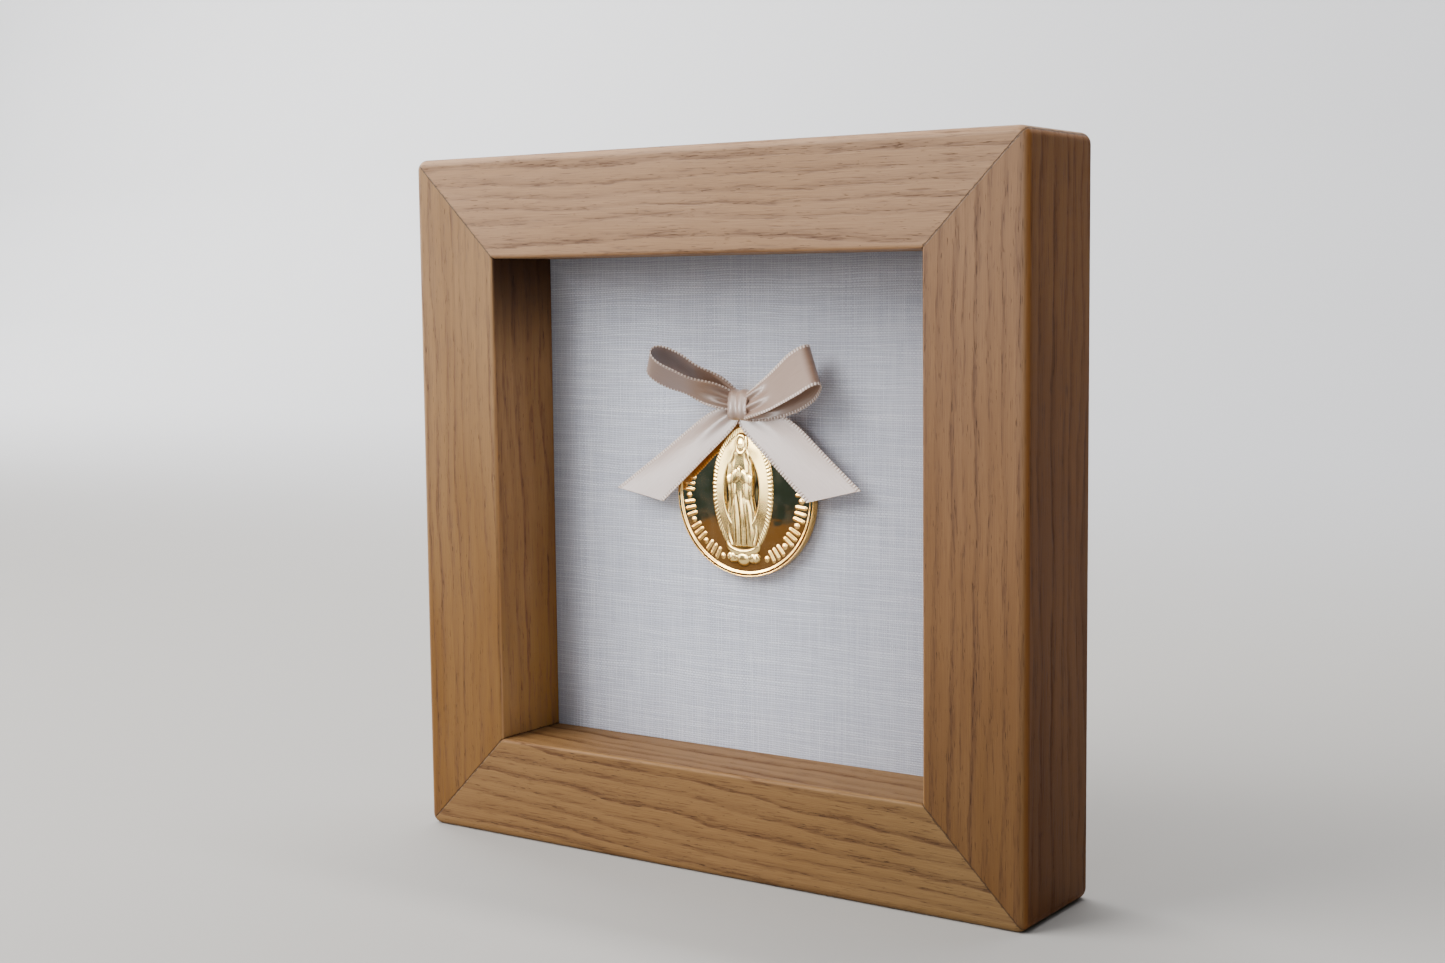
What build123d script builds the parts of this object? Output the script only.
from build123d import *
import math
import os

# A square oak box frame that displays a medal on a linen panel. The medal hangs from a ribbon bow.
# Millimetres, +Z up, the front faces -Y. The origin is the centre of the bottom rail's underside.

# ---------------------------------------------------------------- driving dimensions
# Moulding
outer_width = 150.0
outer_height = 150.0
frame_depth = 28.0
rail_face = 22.0          # front face of each rail
rebate_width = 5.0        # ledge behind the rail that the panel seats on
edge_round = 1.6          # outer edges, front and back
corner_round = 2.3        # the outline's corners, seen from the front
sight_round = 0.8         # front edge of the opening

# Panel, from the front: linen skin, mount board, linen hem, backing board
linen_gauge = 0.4
mount_board_gauge = 5.0
hem_width = 12.0
backing_gauge = 2.5
panel_clearance = 0.5     # between the panel's edge and the rebate's wall

# V-nails across the mitres
wedge_gauge = 0.5
wedge_leg = 4.5
wedge_half_angle = 50.0
wedge_depth = 7.0
wedge_places = (6.5, 12.0)    # in from the outer corner, along each side

# Screws of the turn buttons and the hanger
screw_radius = 1.5
screw_head_radius = 2.9
screw_head_height = 1.6
screw_grip = 11.0         # length of shank in the wood
screw_dome = 0.8
pilot_clearance = 0.05
recess_width = 0.8
recess_length = 3.4
recess_depth = 0.9

# Turn buttons
button_length = 16.0
button_width = 7.0
button_gauge = 1.2
button_gap = 0.3          # under and over the button
button_bore_clearance = 0.1
button_edge_inset = 4.5   # from the rebate's edge to the screw
button_spread = 60.0      # between the two buttons of a stile

# Triangle hanger
hanger_axis_drop = 4.0    # from the frame's top down to the ring's bar
hanger_plate_width = 7.0
hanger_plate_length = 11.0
hanger_gauge = 0.8
hanger_screw_drop = 6.5
hanger_dome_radius = 2.2
hanger_dome_height = 1.2
hanger_pin_radius = 1.0
hanger_pin_grip = 8.0
ring_wire_radius = 1.0
ring_bar_half = 6.0       # half of the ring's straight bar, between wire centres
ring_foot_half = 3.0      # half of its short lower side
ring_reach = 13.0         # from the bar down to the lower side
ring_bend = 1.8
ring_clearance = 0.08     # in the plate's barrel

# Bumper pads
pad_radius = 4.0
pad_height = 1.5
pad_inset = 9.0
pad_round = 0.5

# Medal
medal_radius = 17.3
medal_gauge = 1.6
medal_centre_x = 0.6
medal_rise = 2.4          # its centre above the opening's centre
medal_air = 0.3           # between the medal's back and the linen
rim_width = 0.9
rim_height = 0.3
oval_width = 15.1
oval_height = 26.5
oval_rise = 1.1           # the oval's centre above the medal's centre
dome_rise = 0.6           # of the field's middle above its border
oval_relief = 0.25
figure_relief = 0.6
eyelet_drop = 19.6        # from the eyelet's centre down to the medal's centre
eyelet_radius = 3.2
strand_clearance = 0.1    # of the eyelet on the strand

# Ribbon
ribbon_width = 9.6
ribbon_gauge = 0.35
strand_radius = 1.5
tail_air = 0.3            # between the medal's relief and the tails
knot_air = 0.6            # between the medal's face and the knot
knot_width = 5.0
knot_height = 5.6
knot_depth = 3.6
knot_round = 1.3
knot_shift = 0.9          # to the right of the eyelet
loop_root_depth = 1.6     # how far the loops' roots reach into the knot
thread_radius = 0.15
thread_spread = 1.2
thread_clearance = 0.05
thread_bite = 1.2         # into the knot

# ---------------------------------------------------------------- derived places
front_y = -frame_depth / 2
back_y = frame_depth / 2
rebate_depth = linen_gauge + mount_board_gauge + linen_gauge + backing_gauge
linen_y = back_y - rebate_depth               # front of the linen
board_y = linen_y + linen_gauge               # front of the mount board
hem_y = board_y + mount_board_gauge           # front of the hem
backing_y = hem_y + linen_gauge               # front of the backing board
sight_width = outer_width - 2 * rail_face
sight_height = outer_height - 2 * rail_face
rebate_opening_width = sight_width + 2 * rebate_width
rebate_opening_height = sight_height + 2 * rebate_width
panel_width = rebate_opening_width - 2 * panel_clearance
panel_height = rebate_opening_height - 2 * panel_clearance
centre_z = outer_height / 2

medal_centre_z = centre_z + medal_rise
medal_back_y = linen_y - medal_air
medal_face_y = medal_back_y - medal_gauge
dome_radius = ((medal_radius - rim_width) ** 2 + dome_rise**2) / (2 * dome_rise)
tail_back_y = medal_face_y - dome_rise - figure_relief - tail_air
eyelet_x = medal_centre_x
eyelet_z = medal_centre_z + eyelet_drop
knot_x = eyelet_x + knot_shift
knot_back_y = medal_face_y - knot_air
knot_y = knot_back_y - knot_depth / 2
knot_left_x = knot_x - knot_width / 2
knot_right_x = knot_x + knot_width / 2
knot_low_z = eyelet_z - knot_height / 2


def facing(y):
    """Upright sketch plane at depth y: sketch x is +X, sketch y is +Z, extrusions run to the front."""
    return Plane.XZ.offset(-y)


def corner_points(inset):
    """The frame outline's corners, drawn in by inset, anticlockwise from the lower left."""
    x = outer_width / 2 - inset
    return [(-x, inset), (x, inset), (x, outer_height - inset), (-x, outer_height - inset)]


def finish(part, name):
    """Label a finished piece and write its file."""
    part.label = name
    export_step(part, f"parts/{name}.step")


os.makedirs("parts", exist_ok=True)

# ---------------------------------------------------------------- V-nails
# Each V spans the mitre, with its point towards the frame's centre.
wedge_rise = wedge_leg * math.cos(math.radians(wedge_half_angle))
wedge_reach = wedge_leg * math.sin(math.radians(wedge_half_angle))

wedge_locations = []
for turn, (corner_x, corner_z) in zip((45, 135, 225, 315), corner_points(0)):
    side_x = math.copysign(1, -corner_x)
    side_z = 1 if corner_z == 0 else -1
    for place in wedge_places:
        wedge_locations.append(Location((corner_x + side_x * place, corner_z + side_z * place), turn))

with BuildPart() as corner_wedges:
    with BuildSketch(facing(back_y)):
        with Locations(*wedge_locations):
            Rectangle(wedge_leg, wedge_gauge, rotation=180 - wedge_half_angle, align=(Align.MIN, Align.MIN))
            Rectangle(wedge_leg, wedge_gauge, rotation=180 + wedge_half_angle, align=(Align.MIN, Align.MAX))
    extrude(amount=wedge_depth)
finish(corner_wedges.part, "corner_wedges")

# ---------------------------------------------------------------- fastener places
button_x = rebate_opening_width / 2 + button_edge_inset
button_points = [
    (side * button_x, centre_z + rise * button_spread / 2) for side in (-1, 1) for rise in (-1, 1)
]
hanger_z = outer_height - hanger_axis_drop
hanger_screw_z = hanger_z - hanger_screw_drop

# ---------------------------------------------------------------- rails and stiles
# The moulding is shaped whole, with its corners sanded round, and then parted at the four mitres.
with BuildPart() as moulding:
    with BuildSketch(facing(back_y)):
        with Locations((0, centre_z)):
            RectangleRounded(outer_width, outer_height, corner_round)
    extrude(amount=frame_depth)
    fillet(moulding.edges().group_by(Axis.Y)[0], edge_round)
    fillet(moulding.edges().group_by(Axis.Y)[-1], edge_round)
    with BuildSketch(facing(back_y)):
        with Locations((0, centre_z)):
            Rectangle(sight_width, sight_height)
    extrude(amount=frame_depth, mode=Mode.SUBTRACT)
    fillet(moulding.edges(Select.LAST).group_by(Axis.Y)[0], sight_round)
    # Rebate for the panel
    with BuildSketch(facing(back_y)):
        with Locations((0, centre_z)):
            Rectangle(rebate_opening_width, rebate_opening_height)
    extrude(amount=rebate_depth, mode=Mode.SUBTRACT)
    # Slots that the V-nails cut, and pilot holes of the screws
    add(corner_wedges.part, mode=Mode.SUBTRACT)
    with BuildSketch(facing(back_y)):
        with Locations(*button_points):
            Circle(screw_radius + pilot_clearance)
    extrude(amount=screw_grip, mode=Mode.SUBTRACT)
    with BuildSketch(facing(back_y)):
        with Locations((0, hanger_screw_z)):
            Circle(hanger_pin_radius + pilot_clearance)
    extrude(amount=hanger_pin_grip, mode=Mode.SUBTRACT)

# Each member is the moulding between two mitres, which run at 45 degrees through the corners.
beyond = corner_points(-rail_face)
within = corner_points(2 * rail_face)
for index, name in enumerate(("bottom_rail", "right_stile", "top_rail", "left_stile")):
    after = (index + 1) % 4
    with BuildPart() as member:
        add(moulding.part)
        with BuildSketch(facing(back_y)):
            Polygon(beyond[index], beyond[after], within[after], within[index], align=None)
        extrude(amount=frame_depth, mode=Mode.INTERSECT)
    finish(member.part, name)

# ---------------------------------------------------------------- the panel
thread_points = [(eyelet_x + side * thread_spread / 2, eyelet_z) for side in (-1, 1)]
board_width = panel_width - 2 * linen_gauge
board_height = panel_height - 2 * linen_gauge

with BuildPart() as mount_board:
    with BuildSketch(facing(hem_y)):
        with Locations((0, centre_z)):
            Rectangle(board_width, board_height)
        with Locations(*thread_points):
            Circle(thread_radius + thread_clearance, mode=Mode.SUBTRACT)
    extrude(amount=mount_board_gauge)
finish(mount_board.part, "mount_board")

# The linen is one cloth: a front skin, turned over the board's four edges and hemmed behind it.
with BuildPart() as linen_cover:
    with BuildSketch(facing(backing_y)):
        with Locations((0, centre_z)):
            Rectangle(panel_width, panel_height)
    extrude(amount=backing_y - linen_y)
    with BuildSketch(facing(hem_y)):
        with Locations((0, centre_z)):
            Rectangle(board_width, board_height)
    extrude(amount=mount_board_gauge, mode=Mode.SUBTRACT)
    with BuildSketch(facing(backing_y)):
        with Locations((0, centre_z)):
            Rectangle(panel_width - 2 * hem_width, panel_height - 2 * hem_width)
    extrude(amount=linen_gauge, mode=Mode.SUBTRACT)
    with BuildSketch(facing(board_y)):
        with Locations(*thread_points):
            Circle(thread_radius + thread_clearance)
    extrude(amount=linen_gauge, mode=Mode.SUBTRACT)
finish(linen_cover.part, "linen_cover")

with BuildPart() as backing_board:
    with BuildSketch(facing(back_y)):
        with Locations((0, centre_z)):
            Rectangle(panel_width, panel_height)
    extrude(amount=backing_gauge)
finish(backing_board.part, "backing_board")

# ---------------------------------------------------------------- turn buttons and their screws
button_back_y = back_y + button_gap + button_gauge
head_seat_y = button_back_y + button_gap
slot_reach = button_length - button_width

for side_name, side in (("left", -1), ("right", 1)):
    for rise_name, rise in (("lower", -1), ("upper", 1)):
        pivot_x = side * button_x
        pivot_z = centre_z + rise * button_spread / 2
        with BuildPart() as turn_button:
            with BuildSketch(facing(button_back_y)):
                with Locations((pivot_x - side * slot_reach / 2, pivot_z)):
                    SlotCenterToCenter(slot_reach, button_width)
                with Locations((pivot_x, pivot_z)):
                    Circle(screw_radius + button_bore_clearance, mode=Mode.SUBTRACT)
            extrude(amount=button_gauge)
        finish(turn_button.part, f"turn_button_{side_name}_{rise_name}")

with BuildPart() as button_screws:
    with BuildSketch(facing(head_seat_y + screw_head_height)):
        with Locations(*button_points):
            Circle(screw_head_radius)
    extrude(amount=screw_head_height)
    fillet(button_screws.edges().group_by(Axis.Y)[-1], screw_dome)
    with BuildSketch(facing(head_seat_y)):
        with Locations(*button_points):
            Circle(screw_radius)
    extrude(amount=head_seat_y - back_y + screw_grip - screw_radius)
    fillet(button_screws.edges().group_by(Axis.Y)[0], screw_radius / 2)
    with BuildSketch(facing(head_seat_y + screw_head_height)):
        with Locations(*button_points):
            Rectangle(recess_length, recess_width)
            Rectangle(recess_width, recess_length)
    extrude(amount=recess_depth, mode=Mode.SUBTRACT)
finish(button_screws.part, "button_screws")

# ---------------------------------------------------------------- triangle hanger
# A brass strip, folded round the ring's bar into a barrel, with its tongue screwed to the top rail.
barrel_inner = ring_wire_radius + ring_clearance
barrel_outer = barrel_inner + hanger_gauge
hanger_y = back_y + barrel_outer
tongue_bottom_z = hanger_z - hanger_plate_length

with BuildPart() as hanger_plate:
    with BuildSketch(Plane.YZ):
        with Locations((hanger_y, hanger_z)):
            Circle(barrel_outer)
        with Locations((back_y, hanger_z)):
            Rectangle(hanger_gauge, hanger_plate_length, align=(Align.MIN, Align.MAX))
        with Locations((hanger_y, hanger_z)):
            Circle(barrel_inner, mode=Mode.SUBTRACT)
    extrude(amount=hanger_plate_width / 2, both=True)
    with BuildSketch(facing(back_y + hanger_gauge)):
        with Locations((0, hanger_screw_z)):
            Circle(hanger_pin_radius + pilot_clearance)
    extrude(amount=hanger_gauge, mode=Mode.SUBTRACT)
    fillet(hanger_plate.edges().filter_by(Axis.Y).group_by(Axis.Z)[0], hanger_plate_width / 4)
finish(hanger_plate.part, "hanger_plate")

with BuildPart() as hanger_screw:
    with BuildSketch(facing(back_y + hanger_gauge + hanger_dome_height)):
        with Locations((0, hanger_screw_z)):
            Circle(hanger_dome_radius)
    extrude(amount=hanger_dome_height)
    fillet(hanger_screw.edges().group_by(Axis.Y)[-1], hanger_dome_height * 0.7)
    with BuildSketch(facing(back_y + hanger_gauge)):
        with Locations((0, hanger_screw_z)):
            Circle(hanger_pin_radius)
    extrude(amount=hanger_gauge + hanger_pin_grip - hanger_pin_radius)
    with BuildSketch(facing(back_y + hanger_gauge + hanger_dome_height)):
        with Locations((0, hanger_screw_z)):
            Rectangle(2 * hanger_dome_radius, recess_width)
    extrude(amount=hanger_dome_height / 2, mode=Mode.SUBTRACT)
finish(hanger_screw.part, "hanger_screw")

# The ring hangs down round the tongue: a straight bar at the top and a shorter side below.
with BuildPart() as hanger_ring:
    with BuildLine(facing(hanger_y)) as ring_path:
        FilletPolyline(
            (ring_bar_half, hanger_z),
            (ring_foot_half, hanger_z - ring_reach),
            (-ring_foot_half, hanger_z - ring_reach),
            (-ring_bar_half, hanger_z),
            radius=ring_bend,
            close=True,
        )
    with BuildSketch(Plane(origin=ring_path.line @ 0, z_dir=ring_path.line % 0)):
        Circle(ring_wire_radius)
    sweep(path=ring_path.line)
finish(hanger_ring.part, "hanger_ring")

# ---------------------------------------------------------------- bumper pads
with BuildPart() as bumper_pads:
    with BuildSketch(facing(back_y + pad_height)):
        with Locations(*[(side * (outer_width / 2 - pad_inset), pad_inset) for side in (-1, 1)]):
            Circle(pad_radius)
    extrude(amount=pad_height)
    fillet(bumper_pads.edges().group_by(Axis.Y)[-1], pad_round)
finish(bumper_pads.part, "bumper_pads")

# ---------------------------------------------------------------- medal
oval_z = medal_centre_z + oval_rise


def raise_work(outline, relief):
    """The outline raised over the medal's domed field, with its face as domed as the field is."""
    with BuildPart() as work:
        with BuildSketch(facing(medal_face_y)):
            add(outline)
        extrude(amount=2 * (dome_rise + relief))
        with Locations((medal_centre_x, medal_face_y - dome_rise - relief + dome_radius, medal_centre_z)):
            Sphere(dome_radius, mode=Mode.INTERSECT)
    return work.part


with BuildSketch() as field_outline:
    with Locations((medal_centre_x, medal_centre_z)):
        Circle(medal_radius - rim_width)
with BuildSketch() as oval_outline:
    with Locations((medal_centre_x, oval_z)):
        Ellipse(oval_width / 2, oval_height / 2)
# Plain robed figure: a long body with a round head
with BuildSketch() as figure_outline:
    with Locations((medal_centre_x, oval_z - 1.5)):
        Ellipse(oval_width / 4, oval_height / 2 - 3)
    with Locations((medal_centre_x, oval_z + oval_height / 2 - 3.2)):
        Circle(1.7)

with BuildPart() as medal:
    with BuildSketch(facing(medal_back_y)):
        with Locations((medal_centre_x, medal_centre_z)):
            Circle(medal_radius)
        with Locations((eyelet_x, eyelet_z)):
            Circle(eyelet_radius)
        with Locations((eyelet_x, (eyelet_z + medal_centre_z + medal_radius) / 2)):
            Rectangle(eyelet_radius * 1.6, eyelet_z - medal_centre_z - medal_radius + 1)
    extrude(amount=medal_gauge)
    with BuildSketch(facing(medal_face_y)):
        with Locations((medal_centre_x, medal_centre_z)):
            Circle(medal_radius)
            Circle(medal_radius - rim_width, mode=Mode.SUBTRACT)
    extrude(amount=rim_height)
    add(raise_work(field_outline.sketch, 0))
    add(raise_work(oval_outline.sketch, oval_relief))
    add(raise_work(figure_outline.sketch, figure_relief))
    # The eyelet's hole, which the ribbon strand runs through
    with BuildSketch(facing(medal_back_y)):
        with Locations((eyelet_x, eyelet_z)):
            Circle(strand_radius + strand_clearance)
    extrude(amount=medal_gauge, mode=Mode.SUBTRACT)
finish(medal.part, "medal")

# ---------------------------------------------------------------- ribbon bow
# The spans of one ribbon. The strand goes back through the medal's eyelet to the linen.
with BuildPart() as ribbon_strand:
    with BuildSketch(facing(linen_y)):
        with Locations((eyelet_x, eyelet_z)):
            Circle(strand_radius)
        with Locations(*thread_points):
            Circle(thread_radius + thread_clearance, mode=Mode.SUBTRACT)
    extrude(amount=linen_y - knot_back_y)
finish(ribbon_strand.part, "ribbon_strand")

with BuildPart() as knot_body:
    with BuildSketch(facing(knot_back_y)):
        with Locations((knot_x, eyelet_z)):
            RectangleRounded(knot_width, knot_height, knot_round)
    extrude(amount=knot_depth)
    fillet(knot_body.edges().group_by(Axis.Y)[0], knot_round)

with BuildPart() as ribbon_knot:
    add(knot_body.part)
    with BuildSketch(facing(knot_back_y)):
        with Locations(*thread_points):
            Circle(thread_radius + thread_clearance)
    extrude(amount=thread_bite, mode=Mode.SUBTRACT)
finish(ribbon_knot.part, "ribbon_knot")

# The bow's stitch: two threads from the knot through the strand, linen and board, tied behind it.
with BuildPart() as bow_stitch:
    with BuildSketch(facing(hem_y + 2 * thread_radius)):
        with Locations(*thread_points):
            Circle(thread_radius)
    extrude(amount=hem_y + 2 * thread_radius - knot_back_y + thread_bite)
    with BuildSketch(facing(hem_y + 2 * thread_radius)):
        with Locations((eyelet_x, eyelet_z)):
            SlotCenterToCenter(thread_spread, 2 * thread_radius)
    extrude(amount=2 * thread_radius)
finish(bow_stitch.part, "bow_stitch")


def build_loop(root, reach, lean, loop_length, loop_depth, pinch_width, pinch_length):
    """A ribbon loop: a teardrop band that runs from its root along reach, with its width along lean.

    Two straight legs leave the root, inside the knot, and close round an arc at the far end. The
    band narrows towards the root, where the knot gathers it, and is trimmed to the knot's surface.
    """
    along = Vector(*reach).normalized()
    wide = Vector(*lean) - along * Vector(*lean).dot(along)
    band = Plane(origin=root, x_dir=along, z_dir=wide)
    flat = Plane(origin=root, x_dir=along, z_dir=band.y_dir)
    turn_radius = loop_depth / 2
    turn_x = loop_length - turn_radius
    root_half = 2 * ribbon_gauge
    slope = math.asin(turn_radius / math.hypot(turn_x, root_half)) - math.atan(root_half / turn_x)
    tangent_x = turn_x - turn_radius * math.sin(slope)
    tangent_y = turn_radius * math.cos(slope)
    with BuildPart() as loop:
        with BuildSketch(band):
            with BuildLine():
                Line((0, -root_half), (0, root_half))
                Line((0, root_half), (tangent_x, tangent_y))
                ThreePointArc((tangent_x, tangent_y), (loop_length, 0), (tangent_x, -tangent_y))
                Line((tangent_x, -tangent_y), (0, -root_half))
            make_face()
            offset(amount=-ribbon_gauge, mode=Mode.SUBTRACT)
        extrude(amount=ribbon_width / 2, both=True)
        with BuildSketch(flat):
            Polygon(
                (0, pinch_width / 2),
                (0, -pinch_width / 2),
                (pinch_length, -ribbon_width / 2),
                (loop_length, -ribbon_width / 2),
                (loop_length, ribbon_width / 2),
                (pinch_length, ribbon_width / 2),
                align=None,
            )
        extrude(amount=loop_depth, both=True, mode=Mode.INTERSECT)
        add(knot_body.part, mode=Mode.SUBTRACT)
    return loop.part


ribbon_left_loop = build_loop(
    root=(knot_left_x + loop_root_depth, knot_y - 0.2, eyelet_z + 0.2),
    reach=(-0.77, -0.41, 0.45),
    lean=(0.62, -0.64, 0.46),
    loop_length=20.5,
    loop_depth=5.0,
    pinch_width=3.6,
    pinch_length=7.0,
)
finish(ribbon_left_loop, "ribbon_left_loop")

ribbon_right_loop = build_loop(
    root=(knot_right_x - loop_root_depth, knot_y - 0.7, eyelet_z - 1.5),
    reach=(0.87, 0.07, 0.48),
    lean=(-0.45, 0.26, 0.85),
    loop_length=19.5,
    loop_depth=4.8,
    pinch_width=4.0,
    pinch_length=7.0,
)
finish(ribbon_right_loop, "ribbon_right_loop")

# Tails, from under the knot down over the medal's shoulders. Places are from the eyelet.
tail_top = knot_low_z - eyelet_z - 0.2
tail_outlines = {
    "ribbon_left_tail": [(0.5, tail_top), (-9.0, tail_top), (-32.8, -19.3), (-20.3, -21.7), (-0.4, -4.3)],
    "ribbon_right_tail": [(0.9, tail_top), (12.6, tail_top), (29.4, -17.1), (16.3, -20.2), (0.9, -5.7)],
}
for name, outline in tail_outlines.items():
    with BuildPart() as tail:
        with BuildSketch(facing(tail_back_y)):
            with Locations((eyelet_x, eyelet_z)):
                Polygon(*outline, align=None)
        extrude(amount=ribbon_gauge)
    finish(tail.part, name)
